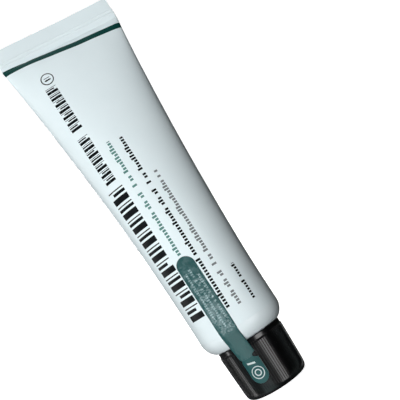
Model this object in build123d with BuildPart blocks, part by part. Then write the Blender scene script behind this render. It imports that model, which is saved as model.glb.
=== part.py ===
"""Squeeze tube of shaving cream, standing on its ribbed screw cap.

The axis of the tube is +Z, the origin is the centre of the cap's closed end, the broad printed
face looks towards -Y and the flattened end spreads along X. Millimetres.
"""
from build123d import *
from math import acos, asin, atan2, cos, hypot, pi, radians, sin, sqrt
import os

os.makedirs("parts", exist_ok=True)

# ---- driving dimensions ----
TUBE_R = 16.0               # outer radius of the round end of the sleeve
SLEEVE_WALL = 0.5           # sleeve wall
CAP_HEIGHT = 19.5           # closed end to mouth
CAP_END_R = 11.95           # over the ribs, at the closed end
CAP_MOUTH_R = 12.85         # over the ribs, at the mouth
SEAM_GAP = 0.4              # between the cap's mouth and the shoulder
SHOULDER_RIM_R = 13.3       # where the shoulder's rounded corner starts
SHOULDER_ARC_R = 7.0        # radius of that corner
CRIMP_Z = 150.3             # where the sleeve is flat
CRIMP_HEIGHT = 9.4
NECK_TIP_Z = 7.6            # free end of the neck, deep inside the cap

# ---- sleeve: sections of constant girth from a circle to a flat band ----
SHOULDER_Z = CAP_HEIGHT + SEAM_GAP
CORNER_CENTRE_R = TUBE_R - SHOULDER_ARC_R
CORNER_RISE = sqrt(SHOULDER_ARC_R**2 - (SHOULDER_RIM_R - CORNER_CENTRE_R) ** 2)
CORNER_SWEEP = asin(CORNER_RISE / SHOULDER_ARC_R)
SLEEVE_Z = SHOULDER_Z + CORNER_RISE
CRIMP_HALF_WIDTH = pi * TUBE_R / 2
SECTION_STEPS = (0.0, 0.1, 0.22, 0.34, 0.46, 0.58, 0.69, 0.79, 0.87, 0.93, 0.97, 1.0)
RIDGE_HEIGHTS = (2.4, 3.8)  # two fine weld lines, above the start of the crimp
RIDGE_PROUD = 0.15
RIDGE_WIDTH = 0.4
RIDGE_INSET = 0.5           # between a weld line's end and the crimp's side edge
CAVITY_TOP = 0.99           # share of the sleeve's length that stays hollow

# ---- head ----
HEAD_WALL = 1.5
HEAD_COLLAR_R = 15.4        # short collar inside the sleeve
HEAD_COLLAR_HEIGHT = 2.0
NECK_R = 6.7                # root of the neck's thread
NECK_BORE_R = 5.4
ORIFICE_R = 2.5
NECK_TIP_WALL = 1.2

# ---- screw thread, one start, right hand ----
THREAD_LEAD = 3.0
THREAD_DEPTH = 0.75
THREAD_ROOT_HALF = 0.75     # half the axial width of the ridge at its root
THREAD_CREST_HALF = 0.35
THREAD_SINK = 0.3           # how far the ridge is rooted in its wall
NECK_THREAD_Z = 9.3
NECK_THREAD_TURNS = 2.25
COLLAR_THREAD_TURNS = 2.0

# ---- cap ----
RIB_COUNT = 90
RIB_DEPTH = 0.35
RIB_SHARES = (0.0, 0.3, 0.55, 0.75)  # where a rib's crest starts and ends, then its root
RIM_HEIGHT = 1.6            # plain band at the mouth
END_FILLET = 2.0
CAP_WALL = 1.3
CAP_END_WALL = 1.6
COLLAR_R = 9.2              # outside of the threaded collar
COLLAR_BORE_R = 7.8
COLLAR_MOUTH_Z = CAP_HEIGHT - 0.5
COLLAR_FLOOR = 1.2
FLANGE_HEIGHT = 1.2
LINER_R = 7.4
LINER_THICK = 1.0
FOIL_R = 6.3
FOIL_THICK = 0.1
SEAT_GAP = 0.02             # between pressed seats of different bodies
LINER_TOP_Z = NECK_TIP_Z - 2 * SEAT_GAP - FOIL_THICK

# ---- tamper sticker ----
STICKER_SIDE = -28.5        # degrees round from the front, towards -X
STICKER_WIDTH = 7.0
STICKER_TOP_Z = 54.8
STICKER_END_Z = 4.6
TEAR_Z = 14.2               # the notched neck where it tears
TEAR_GAP = 0.1
NOTCH_R = 1.0
FILM = 0.12                 # film thickness
FILM_LIFT = 0.03            # adhesive under it
BRIDGE_R = 12.95            # inside of the film at the tear, just clear of the ribs
TAB_RISE = 3.0              # length over which the tab lifts off the ribs to meet it
# the film is taut from the tear to where it touches the shoulder's corner
BRIDGE_RUN = BRIDGE_R - CORNER_CENTRE_R
BRIDGE_DROP = SLEEVE_Z - TEAR_Z
BRIDGE_TOUCH = acos((SHOULDER_ARC_R + FILM_LIFT) / hypot(BRIDGE_RUN, BRIDGE_DROP))
BRIDGE_LEAVES = (atan2(BRIDGE_DROP, BRIDGE_RUN) - BRIDGE_TOUCH) / CORNER_SWEEP

# ---- balm ----
FILL_CLEARANCE = 0.15
FILL_TOP = 0.97             # share of the sleeve's length that is full


def girth(half_width, half_depth):
    """Perimeter of an ellipse (Ramanujan)."""
    h = ((half_width - half_depth) / (half_width + half_depth)) ** 2
    return pi * (half_width + half_depth) * (1 + 3 * h / (10 + sqrt(4 - 3 * h)))


def section(step):
    """Half width and half depth of the sleeve; its girth never changes."""
    swell = (1 - step**1.8) ** 0.6
    half_depth = SLEEVE_WALL + (TUBE_R - SLEEVE_WALL) * swell
    low, high = TUBE_R * 0.9, TUBE_R * 1.7
    for _ in range(50):
        middle = (low + high) / 2
        if girth(middle, half_depth) < 2 * pi * TUBE_R:
            low = middle
        else:
            high = middle
    return low, half_depth


def sleeve_sections(offset, top=1.0):
    """Sections of the sleeve's outer form, grown by offset, up to a share of its length."""
    faces = []
    for step in [step for step in SECTION_STEPS if step < top] + [top]:
        half_width, half_depth = section(step)
        with BuildSketch(Plane.XY.offset(SLEEVE_Z + (CRIMP_Z - SLEEVE_Z) * step)) as slice_sketch:
            Ellipse(half_width + offset, half_depth + offset)
        faces.append(slice_sketch.sketch.face())
    return faces


def corner_point(share, grow=0.0):
    """A point (radius, height) on the shoulder's rounded corner, from the sleeve down to the rim."""
    angle = CORNER_SWEEP * share
    reach = SHOULDER_ARC_R + grow
    return CORNER_CENTRE_R + reach * cos(angle), SLEEVE_Z - reach * sin(angle)


def cap_radius(z):
    """Radius over the ribs."""
    return CAP_END_R + (CAP_MOUTH_R - CAP_END_R) * z / CAP_HEIGHT


def thread_ridge(wall_r, start_z, turns, outward):
    """A trapezoidal ridge wound on a wall, standing out from it or in from it."""
    side = 1 if outward else -1
    with BuildPart() as ridge:
        with BuildLine() as coil:
            Helix(THREAD_LEAD, THREAD_LEAD * turns, wall_r, center=(0, 0, start_z))
        path = coil.line
        with BuildSketch(Plane(origin=path @ 0, x_dir=(side, 0, 0), z_dir=path % 0)):
            with BuildLine():
                Polyline(
                    (-THREAD_SINK, -THREAD_ROOT_HALF),
                    (0, -THREAD_ROOT_HALF),
                    (THREAD_DEPTH, -THREAD_CREST_HALF),
                    (THREAD_DEPTH, THREAD_CREST_HALF),
                    (0, THREAD_ROOT_HALF),
                    (-THREAD_SINK, THREAD_ROOT_HALF),
                    close=True,
                )
            make_face()
        sweep(path=path, is_frenet=True)
    return ridge.part


# ---- tube sleeve: thin wall, flattened and welded at the top ----
with BuildPart() as tube_sleeve:
    loft(sections=sleeve_sections(0))
    with BuildSketch(Plane.XY.offset(CRIMP_Z)):
        Rectangle(2 * CRIMP_HALF_WIDTH, 2 * SLEEVE_WALL)
    extrude(amount=CRIMP_HEIGHT)
    for ridge_height in RIDGE_HEIGHTS:
        with BuildSketch(Plane.XY.offset(CRIMP_Z + ridge_height)):
            Rectangle(2 * (CRIMP_HALF_WIDTH - RIDGE_INSET), 2 * (SLEEVE_WALL + RIDGE_PROUD))
        extrude(amount=RIDGE_WIDTH)
    loft(sections=sleeve_sections(-SLEEVE_WALL, top=CAVITY_TOP), mode=Mode.SUBTRACT)
tube_sleeve.part.label = "tube_sleeve"
export_step(tube_sleeve.part, "parts/tube_sleeve.step")

# ---- tube head: rounded shoulder, inner collar and hollow threaded neck ----
with BuildPart() as tube_head:
    with BuildSketch(Plane.XZ):
        with BuildLine():
            Polyline(
                (ORIFICE_R, NECK_TIP_Z),
                (NECK_R, NECK_TIP_Z),
                (NECK_R, SHOULDER_Z),
                (SHOULDER_RIM_R, SHOULDER_Z),
            )
            ThreePointArc((SHOULDER_RIM_R, SHOULDER_Z), corner_point(0.5), (TUBE_R, SLEEVE_Z))
            Polyline(
                (TUBE_R, SLEEVE_Z),
                (HEAD_COLLAR_R, SLEEVE_Z),
                (HEAD_COLLAR_R, SLEEVE_Z + HEAD_COLLAR_HEIGHT),
                (HEAD_COLLAR_R - HEAD_WALL / 2, SLEEVE_Z + HEAD_COLLAR_HEIGHT),
                (SHOULDER_RIM_R, SHOULDER_Z + 2 * HEAD_WALL),
                (NECK_BORE_R, SHOULDER_Z + HEAD_WALL),
                (NECK_BORE_R, NECK_TIP_Z + NECK_TIP_WALL),
                (ORIFICE_R, NECK_TIP_Z + NECK_TIP_WALL),
                (ORIFICE_R, NECK_TIP_Z),
            )
        make_face()
    revolve(axis=Axis.Z)
    add(thread_ridge(NECK_R, NECK_THREAD_Z, NECK_THREAD_TURNS, outward=True))
tube_head.part.label = "tube_head"
export_step(tube_head.part, "parts/tube_head.step")

# ---- balm: fills the sleeve down to the head ----
with BuildPart() as balm_fill:
    loft(sections=sleeve_sections(-SLEEVE_WALL - FILL_CLEARANCE, top=FILL_TOP))
    with BuildSketch(Plane.XZ):
        with BuildLine():
            inner_z = SLEEVE_Z + HEAD_COLLAR_HEIGHT + FILL_CLEARANCE
            Polyline(
                (0, 0),
                (TUBE_R + 1, 0),
                (TUBE_R + 1, inner_z),
                (HEAD_COLLAR_R - HEAD_WALL / 2 - FILL_CLEARANCE, inner_z),
                (SHOULDER_RIM_R - FILL_CLEARANCE, SHOULDER_Z + 2 * HEAD_WALL + FILL_CLEARANCE),
                (0, SHOULDER_Z + 2 * HEAD_WALL + FILL_CLEARANCE),
                close=True,
            )
        make_face()
    revolve(axis=Axis.Z, mode=Mode.SUBTRACT)
balm_fill.part.label = "balm_fill"
export_step(balm_fill.part, "parts/balm_fill.step")

# ---- foil: closes the orifice until it is peeled off ----
with BuildPart() as orifice_foil:
    with BuildSketch(Plane.XY.offset(NECK_TIP_Z - SEAT_GAP - FOIL_THICK)):
        Circle(FOIL_R)
    extrude(amount=FOIL_THICK)
orifice_foil.part.label = "orifice_foil"
export_step(orifice_foil.part, "parts/orifice_foil.step")

# ---- cap shell: tapered, finely ribbed, hollow ----
def rib_outline(crest_r):
    """Points of a toothed circle: each rib has a crest and a root, both with a width."""
    root_r = crest_r - RIB_DEPTH
    points = []
    for rib in range(RIB_COUNT):
        for share, radius in zip(RIB_SHARES, (crest_r, crest_r, root_r, root_r)):
            angle = radians(360 / RIB_COUNT * (rib + share))
            points.append((radius * cos(angle), radius * sin(angle)))
    return points


with BuildPart() as cap_shell:
    for level in (0, CAP_HEIGHT):
        with BuildSketch(Plane.XY.offset(level)):
            with BuildLine():
                Polyline(*rib_outline(cap_radius(level)), close=True)
            make_face()
    loft(ruled=True)
    with BuildSketch(Plane.XZ):
        with BuildLine():
            rim_z = CAP_HEIGHT - RIM_HEIGHT
            root_r = cap_radius(rim_z) - RIB_DEPTH
            Line((0, 0), (CAP_END_R - END_FILLET, 0))
            CenterArc((CAP_END_R - END_FILLET, END_FILLET), END_FILLET, -90, 90)
            Polyline(
                (CAP_END_R, END_FILLET),
                (cap_radius(rim_z), rim_z),
                (root_r, rim_z),
                (CAP_MOUTH_R - RIB_DEPTH, CAP_HEIGHT),
                (0, CAP_HEIGHT),
                (0, 0),
            )
        make_face()
    revolve(axis=Axis.Z, mode=Mode.INTERSECT)
    with BuildSketch(Plane.XZ):
        with BuildLine():
            Polyline(
                (0, CAP_END_WALL),
                (cap_radius(CAP_END_WALL) - CAP_WALL, CAP_END_WALL),
                (CAP_MOUTH_R - CAP_WALL, CAP_HEIGHT),
                (0, CAP_HEIGHT),
                close=True,
            )
        make_face()
    revolve(axis=Axis.Z, mode=Mode.SUBTRACT)
cap_shell.part.label = "cap_shell"
export_step(cap_shell.part, "parts/cap_shell.step")

# ---- cap insert: threaded collar with a floor, on a flange that seats in the shell ----
with BuildPart() as cap_insert:
    with BuildSketch(Plane.XZ):
        with BuildLine():
            floor_top = LINER_TOP_Z - LINER_THICK
            floor_bottom = floor_top - COLLAR_FLOOR
            flange_r = cap_radius(CAP_END_WALL) - CAP_WALL
            Polyline(
                (0, floor_bottom),
                (COLLAR_BORE_R, floor_bottom),
                (COLLAR_BORE_R, CAP_END_WALL),
                (flange_r, CAP_END_WALL),
                (flange_r, CAP_END_WALL + FLANGE_HEIGHT),
                (COLLAR_R, CAP_END_WALL + FLANGE_HEIGHT),
                (COLLAR_R, COLLAR_MOUTH_Z),
                (COLLAR_BORE_R, COLLAR_MOUTH_Z),
                (COLLAR_BORE_R, floor_top),
                (0, floor_top),
                close=True,
            )
        make_face()
    revolve(axis=Axis.Z)
    add(thread_ridge(COLLAR_BORE_R, NECK_THREAD_Z + THREAD_LEAD / 2, COLLAR_THREAD_TURNS, outward=False))
cap_insert.part.label = "cap_insert"
export_step(cap_insert.part, "parts/cap_insert.step")

# ---- cap liner: soft disc that the neck's tip is pressed on ----
with BuildPart() as cap_liner:
    with BuildSketch(Plane.XY.offset(LINER_TOP_Z - LINER_THICK)):
        Circle(LINER_R)
    extrude(amount=LINER_THICK)
cap_liner.part.label = "cap_liner"
export_step(cap_liner.part, "parts/cap_liner.step")

# ---- tamper sticker: one film, torn at its notched neck when the cap turns ----
side = radians(STICKER_SIDE)
STICKER_PLANE = Plane(origin=(0, 0, 0), x_dir=(cos(side), sin(side), 0), z_dir=(sin(side), -cos(side), 0))
HALF = STICKER_WIDTH / 2

with BuildPart() as seal_strip:
    loft(sections=sleeve_sections(FILM_LIFT + FILM))
    loft(sections=sleeve_sections(FILM_LIFT), mode=Mode.SUBTRACT)
    with BuildSketch(Plane.XZ):
        with BuildLine():
            under = FILM_LIFT
            over = FILM_LIFT + FILM
            strip_end = TEAR_Z + TEAR_GAP / 2
            ThreePointArc(
                corner_point(0, under),
                corner_point(BRIDGE_LEAVES / 2, under),
                corner_point(BRIDGE_LEAVES, under),
            )
            Polyline(
                corner_point(BRIDGE_LEAVES, under),
                (BRIDGE_R, strip_end),
                (BRIDGE_R + FILM, strip_end),
                corner_point(BRIDGE_LEAVES, over),
            )
            ThreePointArc(
                corner_point(BRIDGE_LEAVES, over),
                corner_point(BRIDGE_LEAVES / 2, over),
                corner_point(0, over),
            )
            Line(corner_point(0, over), corner_point(0, under))
        make_face()
    revolve(axis=Axis.Z)
    with BuildSketch(STICKER_PLANE):
        with Locations((0, (TEAR_Z + STICKER_TOP_Z - HALF) / 2)):
            Rectangle(STICKER_WIDTH, STICKER_TOP_Z - HALF - TEAR_Z)
        with Locations((0, STICKER_TOP_Z - HALF)):
            Circle(HALF)
        with Locations((-HALF, TEAR_Z), (HALF, TEAR_Z)):
            Circle(NOTCH_R, mode=Mode.SUBTRACT)
    extrude(amount=2 * TUBE_R, mode=Mode.INTERSECT)
seal_strip.part.label = "seal_strip"
export_step(seal_strip.part, "parts/seal_strip.step")

with BuildPart() as seal_tab:
    with BuildSketch(Plane.XZ):
        with BuildLine():
            top = TEAR_Z - TEAR_GAP / 2
            bend = top - TAB_RISE
            Polyline(
                (cap_radius(0) + FILM_LIFT, 0),
                (cap_radius(bend) + FILM_LIFT, bend),
                (BRIDGE_R, top),
                (BRIDGE_R + FILM, top),
                (cap_radius(bend) + FILM_LIFT + FILM, bend),
                (cap_radius(0) + FILM_LIFT + FILM, 0),
                close=True,
            )
        make_face()
    revolve(axis=Axis.Z)
    with BuildSketch(STICKER_PLANE):
        with Locations((0, (TEAR_Z + STICKER_END_Z + HALF) / 2)):
            Rectangle(STICKER_WIDTH, TEAR_Z - STICKER_END_Z - HALF)
        with Locations((0, STICKER_END_Z + HALF)):
            Circle(HALF)
        with Locations((-HALF, TEAR_Z), (HALF, TEAR_Z)):
            Circle(NOTCH_R, mode=Mode.SUBTRACT)
    extrude(amount=2 * TUBE_R, mode=Mode.INTERSECT)
seal_tab.part.label = "seal_tab"
export_step(seal_tab.part, "parts/seal_tab.step")
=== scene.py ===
"""Looks of a squeeze tube of shaving cream that stands on its ribbed screw cap.

Lengths in this file are millimetres until a mesh is made; MM turns them into metres.
On the sleeve, "s" is the arc length round it from the middle of the printed face, towards +X.
"""

from math import acos, atan2, cos, hypot, pi, radians, sin

import bpy
import numpy as np
from mathutils import Matrix, Vector


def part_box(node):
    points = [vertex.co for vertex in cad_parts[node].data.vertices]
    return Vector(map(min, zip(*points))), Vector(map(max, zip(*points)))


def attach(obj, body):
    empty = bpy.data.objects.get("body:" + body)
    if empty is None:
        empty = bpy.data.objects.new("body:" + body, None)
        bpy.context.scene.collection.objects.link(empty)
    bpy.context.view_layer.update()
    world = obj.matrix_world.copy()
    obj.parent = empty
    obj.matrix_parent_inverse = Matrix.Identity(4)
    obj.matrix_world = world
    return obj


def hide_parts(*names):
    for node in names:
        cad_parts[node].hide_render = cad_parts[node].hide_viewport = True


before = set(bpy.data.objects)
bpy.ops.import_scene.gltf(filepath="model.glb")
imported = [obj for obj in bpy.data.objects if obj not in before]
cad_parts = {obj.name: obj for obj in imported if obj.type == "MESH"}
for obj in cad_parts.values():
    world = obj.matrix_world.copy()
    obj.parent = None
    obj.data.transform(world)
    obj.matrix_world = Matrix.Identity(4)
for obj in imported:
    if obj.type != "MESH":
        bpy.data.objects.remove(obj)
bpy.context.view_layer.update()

# ---- sizes: taken from the frame, then the details that only the looks have ----
MM = 0.001


def box_mm(node):
    """A CAD node's lowest and highest corners, in millimetres."""
    low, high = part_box(node)
    return low / MM, high / MM


SLEEVE_LOW, SLEEVE_HIGH = box_mm("tube_sleeve")
TAB_LOW, TAB_HIGH = box_mm("seal_tab")
STRIP_LOW, STRIP_HIGH = box_mm("seal_strip")

TUBE_R = (SLEEVE_HIGH.y - SLEEVE_LOW.y) / 2
SLEEVE_Z = SLEEVE_LOW.z
TOP_Z = SLEEVE_HIGH.z
CRIMP_HEIGHT = 9.4
CRIMP_Z = TOP_Z - CRIMP_HEIGHT
CRIMP_CORNER_R = 0.9
RIDGE_HEIGHTS = (2.4, 3.8)  # the two fine weld lines, above the start of the crimp
RIDGE_PROUD = 0.19
RIDGE_REACH = 0.27
SLEEVE_WALL = 0.5
SLEEVE_INSIDE = 118.0       # height of the hollow over the sleeve's lower edge
GIRTH = 2 * pi * TUBE_R

CAP_HEIGHT = box_mm("cap_shell")[1].z
CAP_MOUTH_R = 12.85
CAP_END_R = 11.95
CAP_WALL = 1.3
CAP_END_WALL = 1.6
RIB_COUNT = 90
RIB_DEPTH = 0.35
RIM_HEIGHT = 1.6
END_FILLET = 2.0
BASE_RECESS = 0.3           # the middle of the cap's end stands this far off the table

SHOULDER_ARC_R = 7.0
CORNER_R = TUBE_R - SHOULDER_ARC_R

STICKER_S = -8.15           # middle of the sticker, round the sleeve
STICKER_ANGLE = STICKER_S / TUBE_R
STICKER_HALF = 3.5          # half its width on the tube
TAB_HALF = 3.15             # and on the cap
STICKER_TOP = STRIP_HIGH.z
STICKER_END = TAB_LOW.z
TEAR_Z = (STRIP_LOW.z + TAB_HIGH.z) / 2
TEAR_GAP = 0.01             # hairline between strip and tab until the cap is first turned
LEFT_NICK_DEPTH = 0.45      # the nicks in the film's edges that start the tear
LEFT_NICK_REACH = 0.7
RIGHT_NICK_DEPTH = 1.5
RIGHT_NICK_REACH = 0.95
LIFT_RUN = 3.5              # the tab lifts off the ribs over this length, up to the tear
FILM = 0.12                 # thickness
FILM_LIFT = 0.03
HANG_R = 12.95              # inside of the film at the tear, just clear of the ribs
STRIP_LEAST_R = 13.0        # the strip's width is laid out on no smaller radius
# the film is taut from the tear to where it touches the shoulder's rounded corner
TOUCH = acos((SHOULDER_ARC_R + FILM_LIFT) / hypot(HANG_R - CORNER_R, SLEEVE_Z - TEAR_Z))
LEAVE_ANGLE = atan2(SLEEVE_Z - TEAR_Z, HANG_R - CORNER_R) - TOUCH


# ---- mesh helpers ----
def make_object(name, points, faces, uvs=None):
    """A smooth-shaded mesh object from points in millimetres; uvs gives one pair per face corner."""
    mesh = bpy.data.meshes.new(name)
    mesh.from_pydata((np.asarray(points, float) * MM).tolist(), [], faces)
    if uvs is not None:
        layer = mesh.uv_layers.new(name="print_mm")
        layer.data.foreach_set("uv", np.asarray(uvs, np.float32).ravel())
    mesh.update()
    obj = bpy.data.objects.new(name, mesh)
    bpy.context.scene.collection.objects.link(obj)
    return obj


def shade(obj, sharp_degrees=40):
    """Smooth shading that keeps edges sharper than the angle."""
    obj.data.shade_smooth()
    obj.data.set_sharp_from_angle(angle=radians(sharp_degrees))


def band(lower, upper, count, flip=False):
    """Quads between two closed rings of vertices, by the index of each ring's first vertex."""
    faces = []
    for k in range(count):
        following = (k + 1) % count
        quad = (lower + k, lower + following, upper + following, upper + k)
        faces.append(quad[::-1] if flip else quad)
    return faces


def ring_points(r, z, angles):
    """A ring of points at a height; r is one radius, or one for each angle."""
    return np.column_stack((r * np.cos(angles), r * np.sin(angles), np.full(len(angles), z)))


def smooth_step(x):
    """0 up to x = 0, 1 from x = 1, and an S-curve between."""
    x = np.clip(x, 0, 1)
    return x * x * (3 - 2 * x)


# ---- the sleeve's form: its girth stays the same from the round end to the flat one ----
STAYS_ROUND = 1.8           # larger: the sleeve stays round for longer over the shoulder
CLOSES_LATE = 0.6           # smaller: it closes more suddenly at the crimp


def girth(half_width, half_depth):
    """Perimeter of an ellipse (Ramanujan)."""
    h = ((half_width - half_depth) / (half_width + half_depth)) ** 2
    return pi * (half_width + half_depth) * (1 + 3 * h / (10 + (4 - 3 * h) ** 0.5))


def section(z):
    """Half width and half depth of the sleeve at a height."""
    step = min(max((z - SLEEVE_Z) / (CRIMP_Z - SLEEVE_Z), 0), 1)
    half_depth = SLEEVE_WALL + (TUBE_R - SLEEVE_WALL) * (1 - step**STAYS_ROUND) ** CLOSES_LATE
    low, high = TUBE_R * 0.9, TUBE_R * 1.7
    for _ in range(40):
        middle = (low + high) / 2
        if girth(middle, half_depth) < GIRTH:
            low = middle
        else:
            high = middle
    return low, half_depth


PHI = np.linspace(0, 2 * pi, 2049)  # fine steps round a section, to measure its girth


def outline(z, shares, inset=0.0):
    """Points of the sleeve's section at equal shares of its girth, from the middle of the back,
    by -X to the front and back by +X, and the outward normals there."""
    half_width, half_depth = section(z)
    corner = np.clip((z - CRIMP_Z) / 1.2, 0, 1)
    power = 1 - 0.75 * corner
    half_width -= inset
    half_depth = max(half_depth - inset, 0.01)
    wave_x, wave_y = -np.sin(PHI), np.cos(PHI)
    x = half_width * np.sign(wave_x) * np.abs(wave_x) ** power
    y = half_depth * np.sign(wave_y) * np.abs(wave_y) ** power
    run = np.concatenate(([0], np.cumsum(np.hypot(np.diff(x), np.diff(y)))))
    at = np.asarray(shares) % 1.0 * run[-1]
    points = np.stack((np.interp(at, run, x), np.interp(at, run, y)), 1)
    normals = points / np.array((half_width**2, half_depth**2))
    normals /= np.maximum(np.linalg.norm(normals, axis=1, keepdims=True), 1e-9)
    return points, normals


# soft, shallow unevenness of a filled tube: (s, z, reach round, reach along, height)
SWELLS = (
    (-14, 96, 11, 20, 0.16),
    (9, 70, 9, 24, -0.14),
    (15, 118, 8, 14, 0.16),
    (-4, 128, 9, 9, -0.20),
    (19, 44, 8, 13, -0.10),
    (-33, 80, 12, 26, -0.18),
    (38, 100, 10, 22, 0.18),
    (44, 60, 9, 18, -0.12),
)


def unevenness(s, z):
    """Height of the sleeve's surface over its ideal form."""
    height = np.zeros_like(s)
    for centre_s, centre_z, reach_s, reach_z, swell in SWELLS:
        height += swell * np.exp(-(((s - centre_s) / reach_s) ** 2) - ((z - centre_z) / reach_z) ** 2)
    near_crimp = np.exp(-(((CRIMP_Z - z) / 13) ** 2)) if z < CRIMP_Z else 0.0
    height += 0.07 * near_crimp * np.cos(s * 2 * pi / 12.6 + 0.7)
    if z > CRIMP_Z:
        for ridge_height in RIDGE_HEIGHTS:
            height += RIDGE_PROUD * np.exp(-(((z - CRIMP_Z - ridge_height) / RIDGE_REACH) ** 2))
    return height


COLUMNS = 256               # round the sleeve
SHARES = np.arange(COLUMNS) / COLUMNS
ARC = SHARES * GIRTH - GIRTH / 2


def bow(x, z):
    """The flat end is never quite straight: how far it stands off the middle plane."""
    rise = smooth_step((z - SLEEVE_Z) / (TOP_Z - SLEEVE_Z)) ** 3
    return rise * (0.30 * np.sin((x + 9) * 2 * pi / 58) - 0.08)


def sleeve_row(z, inset=0.0, trim=0.0, thin=0.0):
    """One ring of the sleeve, as points in space."""
    flat, normals = outline(z, SHARES, inset)
    if inset == 0:
        flat = flat + normals * (unevenness(ARC, z) - thin)[:, None]
    if trim > 0:
        flat[:, 0] *= 1 - trim / abs(flat[:, 0]).max()
    return np.column_stack((flat[:, 0], flat[:, 1] + bow(flat[:, 0], z), np.full(COLUMNS, z)))


def sleeve_heights():
    """Heights of the outer rows: close together at the ends and over the weld lines."""
    body = SLEEVE_Z + (CRIMP_Z - SLEEVE_Z) * np.sin(np.linspace(0, pi / 2, 84)) ** 1.15
    crimp = CRIMP_Z + np.concatenate((
        np.arange(0.25, 2.1, 0.3),
        np.arange(2.15, 4.6, 0.09),
        np.arange(4.8, CRIMP_HEIGHT - 1.0, 0.45),
    ))
    return np.concatenate((body, crimp))


def lens_cap(first, flip):
    """Closes a ring across its thickness, with quads from its front to its back."""
    faces = []
    quarter = COLUMNS // 4
    for j in range(COLUMNS // 2):
        front = (first + quarter + j, first + quarter + j + 1)
        back = (first + (quarter - j - 1) % COLUMNS, first + (quarter - j) % COLUMNS)
        face = tuple(dict.fromkeys(front + back))
        faces.append(face[::-1] if flip else face)
    return faces


def make_sleeve():
    """Thin-walled closed shell, with arc length and height as its print coordinates."""
    rows = [sleeve_row(SLEEVE_Z, thin=0.06)]
    rows += [sleeve_row(z) for z in np.maximum(sleeve_heights(), SLEEVE_Z + 0.05)]
    for degrees in range(10, 91, 10):
        z = TOP_Z - CRIMP_CORNER_R * (1 - sin(radians(degrees)))
        trim = CRIMP_CORNER_R * (1 - cos(radians(degrees)))
        rows.append(sleeve_row(z, trim=trim, thin=0.1 if degrees == 90 else 0.0))
    outer_count = len(rows)
    inner_heights = np.linspace(SLEEVE_Z + SLEEVE_INSIDE, SLEEVE_Z, 24)
    rows += [sleeve_row(z, inset=SLEEVE_WALL * 0.9) for z in inner_heights]
    faces = []
    for row in range(len(rows) - 1):
        if row != outer_count - 1:
            faces += band(row * COLUMNS, (row + 1) * COLUMNS, COLUMNS)
    faces += lens_cap((outer_count - 1) * COLUMNS, flip=False)
    faces += lens_cap(outer_count * COLUMNS, flip=True)
    faces += band((len(rows) - 1) * COLUMNS, 0, COLUMNS)
    points = np.concatenate(rows)
    uvs = []
    for face in faces:
        arcs = [ARC[index % COLUMNS] for index in face]
        wraps = max(arcs) - min(arcs) > GIRTH / 2 and len(set(face)) == 4
        for index, arc in zip(face, arcs):
            arc = arc + GIRTH if wraps and arc < 0 else arc
            uvs.append((arc, points[index][2]))
    sleeve = make_object("sleeve_printed", points, faces, uvs)
    shade(sleeve, 50)
    return sleeve


# ---- cap shell with its fine ribs ----
def cap_crest(z):
    """Radius over the ribs, with the rounded edge of the closed end."""
    straight = CAP_END_R + (CAP_MOUTH_R - CAP_END_R) * z / CAP_HEIGHT
    if z >= END_FILLET:
        return straight
    return min(straight, CAP_END_R - END_FILLET + (END_FILLET**2 - (END_FILLET - z) ** 2) ** 0.5)


RIB_COLUMNS = 12            # to each rib
CAP_COLUMNS = RIB_COUNT * RIB_COLUMNS
GROOVE_PLACE = 0.15         # middle of the first groove, as a share of the ribs' pitch
GROOVE_SHARE = 0.34         # of the pitch that is groove
CROWN = 0.04                # how far a crest falls off to its sides, as a share of the ribs' depth


def rib_profile():
    """Height of the ribs over their root, 0 to 1, once round the cap: crowned crests, V grooves."""
    share = (np.arange(CAP_COLUMNS) / RIB_COLUMNS) % 1.0
    from_groove = np.abs((share + 0.5 - GROOVE_PLACE) % 1.0 - 0.5) / 0.5
    wall = np.clip(from_groove / GROOVE_SHARE, 0, 1)
    return wall * (1 - CROWN * (1 - from_groove) ** 2)


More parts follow.
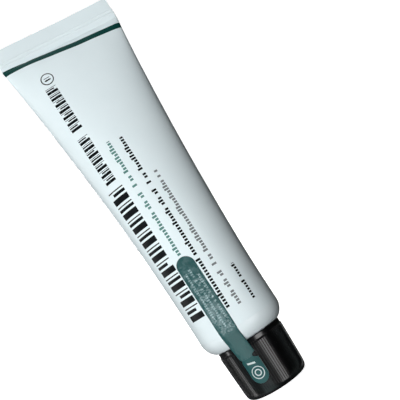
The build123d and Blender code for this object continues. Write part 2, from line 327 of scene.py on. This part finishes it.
def make_cap_shell():
    """Closed shell: ribbed outside, plain rim at the mouth, smooth inside."""
    ribs = rib_profile()
    angles = 2 * pi * np.arange(CAP_COLUMNS) / CAP_COLUMNS
    rim_z = CAP_HEIGHT - RIM_HEIGHT
    outer = []
    for degrees in range(0, 91, 9):
        outer.append(END_FILLET * (1 - cos(radians(degrees))))
    outer += list(np.linspace(END_FILLET + 0.8, rim_z - 0.8, 13))
    outer += list(np.linspace(rim_z - 0.65, rim_z + 0.25, 7)) + [rim_z + 0.8, CAP_HEIGHT - 0.25]
    rows = []
    for z in outer:
        straight = CAP_END_R + (CAP_MOUTH_R - CAP_END_R) * z / CAP_HEIGHT
        fade = 1 - float(smooth_step((z - rim_z + 0.7) / 0.9))
        ribbed = straight - RIB_DEPTH * (1 - ribs * fade)
        rows.append((np.minimum(ribbed, cap_crest(z)), z))
    mouth = CAP_MOUTH_R - RIB_DEPTH
    floor_r = cap_crest(CAP_END_WALL + 1) - CAP_WALL
    rows.append((np.full(CAP_COLUMNS, mouth - 0.07), CAP_HEIGHT - 0.07))
    rows.append((np.full(CAP_COLUMNS, mouth - 0.25), CAP_HEIGHT))
    rows.append((np.full(CAP_COLUMNS, CAP_MOUTH_R - CAP_WALL + 0.15), CAP_HEIGHT))
    rows.append((np.full(CAP_COLUMNS, CAP_MOUTH_R - CAP_WALL), CAP_HEIGHT - 0.15))
    rows.append((np.full(CAP_COLUMNS, floor_r), CAP_END_WALL))
    rows.append((np.full(CAP_COLUMNS, 4.0), CAP_END_WALL))
    base = [(8.7, 0.0), (8.5, 0.05), (8.35, BASE_RECESS), (1.2, BASE_RECESS)]
    points = [ring_points(r, z, angles) for r, z in rows]
    faces = []
    for row in range(len(rows) - 1):
        faces += band(row * CAP_COLUMNS, (row + 1) * CAP_COLUMNS, CAP_COLUMNS)
    inside_ring = len(rows) - 1
    points += [ring_points(r, z, angles) for r, z in base]
    first_base = inside_ring + 1
    faces += band(0, first_base * CAP_COLUMNS, CAP_COLUMNS, flip=True)
    for row in range(first_base, first_base + len(base) - 1):
        faces += band(row * CAP_COLUMNS, (row + 1) * CAP_COLUMNS, CAP_COLUMNS, flip=True)
    points = np.concatenate(points)
    centres = len(points)
    points = np.concatenate((points, [(0, 0, CAP_END_WALL), (0, 0, BASE_RECESS)]))
    last_base = (first_base + len(base) - 1) * CAP_COLUMNS
    for k in range(CAP_COLUMNS):
        following = (k + 1) % CAP_COLUMNS
        faces.append((inside_ring * CAP_COLUMNS + k, inside_ring * CAP_COLUMNS + following, centres))
        faces.append((last_base + following, last_base + k, centres + 1))
    shell = make_object("cap_ribbed", points, faces)
    shade(shell, 35)
    return shell


# ---- tamper sticker ----
def film_radius(z):
    """Inside radius of the film below the sleeve: round the corner, then taut down to the tear."""
    leave_r = CORNER_R + (SHOULDER_ARC_R + FILM_LIFT) * cos(LEAVE_ANGLE)
    leave_z = SLEEVE_Z - (SHOULDER_ARC_R + FILM_LIFT) * sin(LEAVE_ANGLE)
    if z > leave_z:
        return CORNER_R + ((SHOULDER_ARC_R + FILM_LIFT) ** 2 - (SLEEVE_Z - z) ** 2) ** 0.5
    return HANG_R + (leave_r - HANG_R) * (z - TEAR_Z) / (leave_z - TEAR_Z)


def tab_radius(z):
    """Inside radius of the film on the cap: on the ribs, and lifting off them towards the tear."""
    lift = float(np.clip((z - TEAR_Z + LIFT_RUN) / LIFT_RUN, 0, 1)) ** 1.6
    on_ribs = cap_crest(z) + FILM_LIFT
    return on_ribs + (HANG_R - on_ribs) * lift


def film_point(w, z, lift, strip):
    """A point of the film: w across it, z along the tube, lift over its inside face."""
    if strip and z >= SLEEVE_Z:
        share = (STICKER_S + w + GIRTH / 2) / GIRTH
        flat, normal = outline(z, [share])
        rise = unevenness(np.array([STICKER_S + w]), z)[0] + FILM_LIFT + lift
        x, y = flat[0] + normal[0] * rise
        return (x, y + bow(x, z), z)
    radius = (film_radius(z) if strip else tab_radius(z)) + lift
    angle = STICKER_ANGLE + w / (max(radius, STRIP_LEAST_R) if strip else radius)
    return (radius * sin(angle), -radius * cos(angle), z)


def film_sides(z):
    """How far the film reaches to its left and right of the middle: round ends, a nick each side."""
    reach = TAB_HALF + (STICKER_HALF - TAB_HALF) * float(smooth_step((z - 12) / 18))
    if z > STICKER_TOP - STICKER_HALF:
        reach = max(STICKER_HALF**2 - (z - STICKER_TOP + STICKER_HALF) ** 2, 0) ** 0.5
    if z < STICKER_END + TAB_HALF:
        reach = max(TAB_HALF**2 - (STICKER_END + TAB_HALF - z) ** 2, 0) ** 0.5
    left_nick = LEFT_NICK_DEPTH * max(0, 1 - abs(z - TEAR_Z) / LEFT_NICK_REACH) ** 0.8
    from_right_nick = (z - TEAR_Z - 0.1) / RIGHT_NICK_REACH
    right_nick = RIGHT_NICK_DEPTH * max(0, 1 - from_right_nick**2) ** 0.5
    return reach - left_nick, reach - right_nick


def make_film(name, heights, strip):
    """A closed thin sheet over the rows, with its own flat coordinates for the marks."""
    across = np.linspace(0, 1, 29)
    count = len(across)
    points, flats = [], []
    for lift in (FILM, 0.0):
        for z in heights:
            left, right = film_sides(z)
            for share in across:
                w = -left + (left + right) * share
                edge = min(share, 1 - share) * (left + right)
                soften = FILM * 0.4 * max(0, 1 - edge / 0.1) if lift else 0.0
                points.append(film_point(w, z, lift - soften, strip))
                flats.append((w, z))
    rows = len(heights)
    under = rows * count
    faces = []
    for row in range(rows - 1):
        for k in range(count - 1):
            a = row * count + k
            quad = (a, a + 1, a + 1 + count, a + count)
            faces.append(quad)
            faces.append(tuple(under + index for index in quad[::-1]))
    rim = list(range(count))
    rim += [row * count + count - 1 for row in range(1, rows)]
    rim += [(rows - 1) * count + k for k in range(count - 2, -1, -1)]
    rim += [row * count for row in range(rows - 2, 0, -1)]
    for a, b in zip(rim, rim[1:] + rim[:1]):
        faces.append((b, a, under + a, under + b))
    uvs = [flats[index] for face in faces for index in face]
    film = make_object(name, points, faces, uvs)
    shade(film, 40)
    return film


def make_sticker():
    """The strip on the tube and the tab on the cap, parted at the tear."""
    round_top = STICKER_TOP - STICKER_HALF * (1 - np.sin(np.linspace(0, pi / 2, 14)))
    strip_heights = np.concatenate((
        TEAR_Z + TEAR_GAP / 2 + np.arange(0, 1.6, 0.16),
        np.linspace(TEAR_Z + 1.75, SLEEVE_Z - 0.3, 30),
        np.linspace(SLEEVE_Z + 0.3, STICKER_TOP - STICKER_HALF - 0.6, 34),
        round_top[:-1],
        [STICKER_TOP - 0.003],
    ))
    round_end = STICKER_END + TAB_HALF * (1 - np.sin(np.linspace(pi / 2, 0, 14)))
    tab_heights = np.concatenate((
        [STICKER_END + 0.003],
        round_end[1:],
        np.linspace(STICKER_END + TAB_HALF + 0.5, TEAR_Z - 1.7, 12),
        TEAR_Z - TEAR_GAP / 2 - np.arange(0, 1.6, 0.16)[::-1],
    ))
    return make_film("sticker_strip", strip_heights, True), make_film("sticker_tab", tab_heights, False)


# ---- materials ----
class Graph:
    """The nodes of one material, written as expressions."""

    def __init__(self, name, **constants):
        self.material = bpy.data.materials.new(name)
        self.material.use_nodes = True
        self.tree = self.material.node_tree
        self.tree.nodes.clear()
        self.shader = self.node("ShaderNodeBsdfPrincipled")
        output = self.node("ShaderNodeOutputMaterial")
        self.tree.links.new(self.shader.outputs[0], output.inputs["Surface"])
        for key, value in constants.items():
            self.shader.inputs[key.replace("_", " ")].default_value = value

    def node(self, kind, **settings):
        made = self.tree.nodes.new(kind)
        for key, value in settings.items():
            setattr(made, key, value)
        return made

    def feed(self, socket, value):
        if isinstance(value, bpy.types.NodeSocket):
            self.tree.links.new(value, socket)
        else:
            socket.default_value = value

    def math(self, operation, *values):
        made = self.node("ShaderNodeMath", operation=operation)
        for socket, value in zip(made.inputs, values):
            self.feed(socket, value)
        return made.outputs[0]

    def inside(self, value, low, high):
        return self.math("COMPARE", value, (low + high) / 2, (high - low) / 2)

    def all_of(self, *masks):
        result = masks[0]
        for mask in masks[1:]:
            result = self.math("MULTIPLY", result, mask)
        return result

    def any_of(self, *masks):
        result = masks[0]
        for mask in masks[1:]:
            result = self.math("MAXIMUM", result, mask)
        return result

    def chance(self, value, seed):
        """A steady random number, 0 to 1, for each whole value."""
        noise = self.node("ShaderNodeTexWhiteNoise", noise_dimensions="1D")
        self.feed(noise.inputs["W"], self.math("ADD", value, seed))
        return noise.outputs["Value"]

    def mix(self, factor, first, second):
        made = self.node("ShaderNodeMix", data_type="RGBA")
        self.feed(made.inputs[0], factor)
        self.feed(made.inputs[6], first)
        self.feed(made.inputs[7], second)
        return made.outputs[2]

    def noise(self, size_mm, detail=2.0, stretch=(1, 1, 1)):
        """Noise in the piece's own space, with features of about that size."""
        place = self.node("ShaderNodeTexCoord").outputs["Object"]
        scale = self.node("ShaderNodeVectorMath", operation="MULTIPLY")
        self.feed(scale.inputs[0], place)
        scale.inputs[1].default_value = stretch
        made = self.node("ShaderNodeTexNoise")
        self.feed(made.inputs["Vector"], scale.outputs[0])
        made.inputs["Scale"].default_value = 1 / (size_mm * MM)
        made.inputs["Detail"].default_value = detail
        return made.outputs["Fac"]

    def spread(self, value, low, high):
        """Maps 0..1 to low..high."""
        made = self.node("ShaderNodeMapRange")
        self.feed(made.inputs["Value"], value)
        made.inputs["To Min"].default_value = low
        made.inputs["To Max"].default_value = high
        return made.outputs["Result"]

    def print_place(self):
        """The piece's flat coordinates in millimetres: across, along."""
        place = self.node("ShaderNodeUVMap", uv_map="print_mm").outputs["UV"]
        parts = self.node("ShaderNodeSeparateXYZ")
        self.feed(parts.inputs[0], place)
        return parts.outputs[0], parts.outputs[1]

    def colour(self, value):
        self.feed(self.shader.inputs["Base Color"], value)

    def roughness(self, value):
        self.feed(self.shader.inputs["Roughness"], value)

    def bump(self, height, depth_mm):
        made = self.node("ShaderNodeBump")
        made.inputs["Distance"].default_value = depth_mm * MM
        self.feed(made.inputs["Height"], height)
        for socket in ("Normal", "Coat Normal"):
            self.tree.links.new(made.outputs[0], self.shader.inputs[socket])


INK_BLACK = (0.003, 0.004, 0.005, 1)
INK_GREY = (0.16, 0.18, 0.19, 1)
INK_GREEN = (0.10, 0.24, 0.22, 1)
BAND_GREEN = (0.002, 0.046, 0.040, 1)
BAND_BELOW_CRIMP = (3.8, 1.5)   # from how far below the crimp's start to how far
PRINT_SLANT = 0.018             # the print's drift round the sleeve for each millimetre of height
PRINT_LEVEL_Z = 60.0            # the height where it has drifted nowhere

# bold rows: both edges round the sleeve, start height, length of a cell, cells, seed, cell left out
BAR_ROWS = (
    (-18.9, -11.8, 33.5, 6.1, 9, 3.0, None),
    (-17.1, -12.6, 90.5, 2.95, 15, 11.0, 7),
)
# rows of dashes: both edges round the sleeve, start and end heights, length of a cell, seed
BLACK_ROWS = (
    (-4.3, -2.5, 32, 103, 1.15, 21.0),
    (5.5, 7.1, 30, 44, 1.05, 31.0),
)
GREEN_ROW = (-9.1, -7.3, 55.5, 104, 1.2, 41.0)
GREY_ROW = (-0.3, 1.5, 31, 86, 1.1, 51.0)
BACK_ROWS = [(34.0 + 2.6 * row, 35.5 + 2.6 * row, 42, 118, 1.3, 60.0 + row) for row in range(5)]
STICKER_ROWS = (
    (-2.35, -1.35, 30, 49, 0.85, 71.0),
    (-0.4, 0.6, 27, 50, 0.85, 81.0),
    (1.5, 2.5, 30, 47, 0.85, 91.0),
)
RING_CENTRE = (-14.0, 138.3)    # round the sleeve, and height
RING_R = 2.35
RING_LINE = 0.42


def bar_row(g, u, v, top, foot, start, cell, count, seed, gap):
    """A row of separate upright bars, three to a cell, that stands for a line of bold type."""
    along = g.math("DIVIDE", g.math("SUBTRACT", v, start), cell)
    index = g.math("FLOOR", along)
    share = g.math("FRACT", along)
    toss = g.chance(index, seed)
    height = foot - top
    trim = 0.24 * height
    short_top = g.all_of(g.math("LESS_THAN", toss, 0.4), g.math("LESS_THAN", u, top + trim))
    short_foot = g.all_of(g.math("GREATER_THAN", toss, 0.7), g.math("GREATER_THAN", u, foot - trim))
    keep = g.math("SUBTRACT", 1.0, g.any_of(short_top, short_foot))
    thick = g.inside(share, 0.06, 0.42)
    second = g.all_of(g.inside(share, 0.55, 0.73), keep)
    hair = g.inside(share, 0.84, 0.91)
    marks = [
        g.any_of(thick, second, hair),
        g.inside(u, top, foot),
        g.inside(v, start, start + cell * count),
    ]
    if gap is not None:
        marks.append(g.math("SUBTRACT", 1.0, g.inside(index, gap - 0.5, gap + 0.5)))
    return g.all_of(*marks)


def dash_row(g, u, v, top, foot, start, end, cell, seed):
    """A row of small dashes in word-like groups that stands for a line of small type."""
    along = g.math("DIVIDE", g.math("SUBTRACT", v, start), cell)
    index = g.math("FLOOR", along)
    share = g.math("FRACT", along)
    toss = g.chance(index, seed)
    tall = g.math("GREATER_THAN", toss, 0.68)
    low_part = g.inside(u, top + 0.3 * (foot - top), foot)
    body = g.any_of(low_part, g.all_of(tall, g.inside(u, top, foot)))
    word = g.math("GREATER_THAN", toss, 0.13)
    return g.all_of(body, word, g.inside(share, 0.12, 0.80), g.inside(v, start, end))


def ring_mark(g, u, v, centre_u, centre_v, radius, line):
    """A thin circle, and the distance from its centre."""
    across = g.math("SUBTRACT", u, centre_u)
    along = g.math("SUBTRACT", v, centre_v)
    squares = g.math("ADD", g.math("MULTIPLY", across, across), g.math("MULTIPLY", along, along))
    distance = g.math("SQRT", squares)
    return g.inside(distance, radius - line / 2, radius + line / 2), distance


def sleeve_material():
    """Satin cool-white plastic with a dark band under the crimp and rows of generic marks."""
    g = Graph("sleeve_white", Specular_IOR_Level=0.22)
    round_u, v = g.print_place()
    drift = g.math("MULTIPLY", g.math("SUBTRACT", PRINT_LEVEL_Z, v), PRINT_SLANT)
    u = g.math("ADD", round_u, drift)
    ring, distance = ring_mark(g, u, v, *RING_CENTRE, RING_R, RING_LINE)
    dot = g.all_of(
        g.math("LESS_THAN", distance, 1.3),
        g.any_of(g.inside(v, 137.5, 138.1), g.inside(v, 138.7, 138.95)),
    )
    bold = [bar_row(g, u, v, *row) for row in BAR_ROWS]
    fine = [dash_row(g, u, v, *row) for row in BLACK_ROWS]
    black = g.any_of(*bold, *fine, ring, dot)
    green = dash_row(g, u, v, *GREEN_ROW)
    grey = dash_row(g, u, v, *GREY_ROW)
    back_rows = [dash_row(g, g.math("ABSOLUTE", u), v, *row) for row in BACK_ROWS]
    fleck = g.spread(g.noise(9, 3), 0.0, 1.0)
    colour = g.mix(fleck, (0.745, 0.845, 0.872, 1), (0.775, 0.868, 0.893, 1))
    colour = g.mix(g.any_of(*back_rows), colour, INK_GREY)
    colour = g.mix(grey, colour, INK_GREY)
    colour = g.mix(green, colour, INK_GREEN)
    colour = g.mix(black, colour, INK_BLACK)
    turn = g.math("MULTIPLY", round_u, 2 * pi / GIRTH)
    lean = g.math("MULTIPLY", g.math("SINE", turn), 1.7)
    sag = g.math("MULTIPLY", g.math("COSINE", g.math("MULTIPLY", turn, 2.0)), 0.4)
    level = g.math("ADD", v, g.math("ADD", lean, sag))
    stripe = g.inside(level, CRIMP_Z - BAND_BELOW_CRIMP[0], CRIMP_Z - BAND_BELOW_CRIMP[1])
    colour = g.mix(stripe, colour, BAND_GREEN)
    g.colour(colour)
    g.roughness(g.spread(g.noise(2.5, 3), 0.34, 0.42))
    grain = g.math("MULTIPLY", g.noise(0.35, 2), 0.5)
    g.bump(g.math("ADD", grain, g.noise(3.5, 2)), 0.02)
    return g.material


def head_material():
    """The same white, moulded: a little warmer and smoother."""
    g = Graph("head_white", Specular_IOR_Level=0.5)
    g.colour(g.mix(g.noise(6, 2), (0.74, 0.83, 0.855, 1), (0.77, 0.855, 0.88, 1)))
    g.roughness(g.spread(g.noise(2, 2), 0.30, 0.38))
    g.bump(g.noise(0.5, 2), 0.01)
    return g.material


def cap_material(name, rough_low, rough_high):
    """Black moulded plastic, satin, with dust-fine grain and slight wear in its sheen."""
    g = Graph(name, Specular_IOR_Level=0.55)
    g.colour(g.mix(g.noise(4, 3), (0.0008, 0.0009, 0.0011, 1), (0.0018, 0.0019, 0.0022, 1)))
    g.roughness(g.spread(g.noise(1.2, 3), rough_low, rough_high))
    g.bump(g.noise(0.25, 2), 0.012)
    return g.material


def sticker_material(name, tab):
    """Dark green film, semi-gloss, with pale generic marks."""
    gloss, coat = (0.28, 0.25) if tab else (0.45, 0.8)
    g = Graph(name, Specular_IOR_Level=gloss, Coat_Weight=coat, Coat_Roughness=0.10)
    u, v = g.print_place()
    if tab:
        outer, distance = ring_mark(g, u, v, 0.0, 8.5, 2.1, 0.28)
        inner = g.inside(distance, 0.85, 1.2)
        slant = g.math("ADD", v, g.math("MULTIPLY", u, 0.22))
        bar = g.all_of(g.inside(slant, 11.85, 12.5), g.inside(u, -1.7, 1.1))
        marks = g.any_of(outer, inner, bar)
    else:
        marks = g.any_of(*[dash_row(g, u, v, *row) for row in STICKER_ROWS])
    ink = g.mix(g.noise(5, 2), (0.009, 0.062, 0.064, 1), (0.013, 0.082, 0.082, 1))
    pale = (0.55, 0.62, 0.62, 1) if tab else (0.16, 0.26, 0.27, 1)
    g.colour(g.mix(marks, ink, pale))
    g.roughness(g.spread(g.noise(3, 2), 0.26, 0.36))
    folds = g.math("ADD", g.noise(2.6, 3), g.math("MULTIPLY", g.noise(0.8, 2), 0.25))
    g.bump(folds, 0.25)
    return g.material


def foil_material():
    """Bright foil with fine rolling lines."""
    g = Graph("foil", Metallic=1.0)
    lines = g.noise(0.4, 2, (1, 0.05, 1))
    g.colour(g.mix(lines, (0.74, 0.75, 0.76, 1), (0.86, 0.87, 0.88, 1)))
    g.roughness(g.spread(lines, 0.18, 0.32))
    g.bump(lines, 0.01)
    return g.material


def foam_material():
    """Fine off-white foam."""
    g = Graph("liner_foam")
    cells = g.noise(0.3, 3)
    g.colour(g.mix(cells, (0.62, 0.62, 0.60, 1), (0.80, 0.80, 0.78, 1)))
    g.roughness(g.spread(cells, 0.7, 0.9))
    g.bump(cells, 0.05)
    return g.material


def balm_material():
    """Wet white cream."""
    g = Graph("balm", Coat_Weight=0.4, Coat_Roughness=0.1)
    folds = g.noise(7, 2)
    g.colour(g.mix(folds, (0.84, 0.84, 0.80, 1), (0.90, 0.90, 0.87, 1)))
    g.roughness(g.spread(folds, 0.3, 0.5))
    g.bump(folds, 0.3)
    return g.material


def dress(obj, material):
    obj.data.materials.clear()
    obj.data.materials.append(material)


# ---- the object ----
sleeve = make_sleeve()
dress(sleeve, sleeve_material())
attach(sleeve, "tube")
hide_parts("tube_sleeve")

shell = make_cap_shell()
dress(shell, cap_material("cap_black", 0.13, 0.19))
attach(shell, "cap")
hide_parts("cap_shell")

strip, tab = make_sticker()
dress(strip, sticker_material("sticker_strip_green", tab=False))
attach(strip, "tube")
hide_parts("seal_strip")
dress(tab, sticker_material("sticker_tab_green", tab=True))
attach(tab, "cap")
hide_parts("seal_tab")

KEPT = {
    "tube_head": head_material(),
    "cap_insert": cap_material("insert_black", 0.42, 0.55),
    "cap_liner": foam_material(),
    "orifice_foil": foil_material(),
    "balm_fill": balm_material(),
}
for node, material in KEPT.items():
    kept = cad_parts[node]
    kept.data.materials.clear()
    kept.data.materials.append(material)
    shade(kept, 30)


# ---- stage: one pale surface, flat under the object and curving up far round it ----
FLOOR_FLAT_R = 420.0
FLOOR_BOWL_R = 380.0
FLOOR_TOP_Z = 1600.0


def make_stage():
    """A bowl that fills the view with white, and takes no part in the light on the tube."""
    turns = 96
    profile = [(0.01, 0.0), (150.0, 0.0), (FLOOR_FLAT_R, 0.0)]
    for degrees in range(10, 91, 10):
        r = FLOOR_FLAT_R + FLOOR_BOWL_R * sin(radians(degrees))
        profile.append((r, FLOOR_BOWL_R * (1 - cos(radians(degrees)))))
    profile.append((FLOOR_FLAT_R + FLOOR_BOWL_R, FLOOR_TOP_Z))
    angles = 2 * pi * np.arange(turns) / turns
    points = np.concatenate([ring_points(r, z, angles) for r, z in profile])
    faces = []
    for row in range(len(profile) - 1):
        faces += band(row * turns, (row + 1) * turns, turns, flip=True)
    floor = make_object("pale_floor", points, faces)
    floor.data.shade_smooth()
    g = Graph("pale_floor", Roughness=0.9, Specular_IOR_Level=0.1, Emission_Strength=0.86)
    g.shader.inputs["Emission Color"].default_value = (1, 1, 1, 1)
    g.colour((0.9, 0.9, 0.9, 1))
    floor.data.materials.append(g.material)
    floor.visible_diffuse = False
    floor.visible_glossy = False
    floor.visible_shadow = False


def area_light(name, azimuth, elevation, distance, size, power, only=None, colour=(1, 1, 1)):
    """A soft rectangle of light aimed at the middle of the tube; azimuth 0 is in front, + towards +X.

    Angles are in degrees, lengths in metres and power in watts. only="diffuse" gives light without
    reflections, and only="glossy" gives reflections without light.
    """
    aim = Vector((0, 0, 0.075))
    away = Vector((
        sin(radians(azimuth)) * cos(radians(elevation)),
        -cos(radians(azimuth)) * cos(radians(elevation)),
        sin(radians(elevation)),
    ))
    data = bpy.data.lights.new(name, "AREA")
    data.shape = "RECTANGLE"
    data.size, data.size_y = size
    data.energy = power
    data.color = colour
    light = bpy.data.objects.new(name, data)
    light.location = aim + away * distance
    light.rotation_euler = away.to_track_quat("Z", "Y").to_euler()
    light.visible_camera = False
    light.visible_diffuse = only != "glossy"
    light.visible_glossy = only != "diffuse"
    bpy.context.scene.collection.objects.link(light)


def make_world(dark_side, bright_side, colour):
    """Even surroundings that are brighter towards -X than towards +X."""
    world = bpy.data.worlds.new("studio")
    world.use_nodes = True
    nodes, links = world.node_tree.nodes, world.node_tree.links
    background = nodes["Background"]
    background.inputs["Color"].default_value = colour
    split = nodes.new("ShaderNodeSeparateXYZ")
    links.new(nodes.new("ShaderNodeTexCoord").outputs["Generated"], split.inputs[0])
    side = nodes.new("ShaderNodeMapRange")
    links.new(split.outputs["X"], side.inputs["Value"])
    side.inputs["From Min"].default_value = -1.0
    side.inputs["From Max"].default_value = 0.6
    side.inputs["To Min"].default_value = bright_side
    side.inputs["To Max"].default_value = dark_side
    links.new(side.outputs["Result"], background.inputs["Strength"])
    bpy.context.scene.world = world


make_stage()
make_world(0.015, 0.12, (0.95, 0.98, 1.0, 1))
LIGHTS = (
    ("main_front", -23, 12, 0.70, (0.25, 0.35), 3.8, "diffuse"),
    ("fill_left", -100, -2, 0.60, (0.25, 0.45), 0.75, "diffuse"),
    ("top_soft", -20, 75, 0.60, (0.40, 0.40), 0.3),
    ("floor_bounce", -32, -34, 0.50, (0.30, 0.30), 0.65, "diffuse"),
    ("back_soft", 178, 22, 0.70, (0.30, 0.40), 3.4),
    ("back_right", 145, 10, 0.80, (0.20, 0.40), 0.22, "diffuse"),
    ("sheen_front", 18, -11, 0.60, (0.26, 0.50), 1.85, "glossy"),
    ("sheen_left", -107, -10, 0.60, (0.10, 0.45), 0.5, "glossy"),
    ("sheen_low", -46, -40, 0.50, (0.35, 0.46), 0.55, "glossy", (0.78, 1.0, 1.0)),
    ("sheen_film", -46, -7, 0.60, (0.45, 0.06), 0.62, "glossy", (0.85, 0.97, 1.0)),
)
for light in LIGHTS:
    area_light(*light)


# ---- camera: leaned over, looking slightly up ----
CAMERA_AZIMUTH = radians(-12)
CAMERA_ELEVATION = radians(-7.97)
CAMERA_ROLL = radians(-32.71)
CAMERA_DISTANCE = 0.2216
CAMERA_AIM = Vector((0, 0, 0.0699))


def make_camera():
    data = bpy.data.cameras.new("camera")
    data.lens = 54
    data.sensor_width = 36
    data.shift_x = 0.0694
    data.shift_y = 0.0453
    data.clip_start = 0.005
    camera = bpy.data.objects.new("camera", data)
    back = Vector((
        sin(CAMERA_AZIMUTH) * cos(CAMERA_ELEVATION),
        -cos(CAMERA_AZIMUTH) * cos(CAMERA_ELEVATION),
        sin(CAMERA_ELEVATION),
    ))
    right = (-back).cross(Vector((0, 0, 1))).normalized()
    up = right.cross(-back)
    axis_x = cos(CAMERA_ROLL) * right + sin(CAMERA_ROLL) * up
    axis_y = cos(CAMERA_ROLL) * up - sin(CAMERA_ROLL) * right
    turn = Matrix((axis_x, axis_y, back)).transposed().to_4x4()
    camera.matrix_world = Matrix.Translation(CAMERA_AIM + back * CAMERA_DISTANCE) @ turn
    bpy.context.scene.collection.objects.link(camera)
    bpy.context.scene.camera = camera


make_camera()
bpy.context.scene.view_settings.view_transform = "Standard"
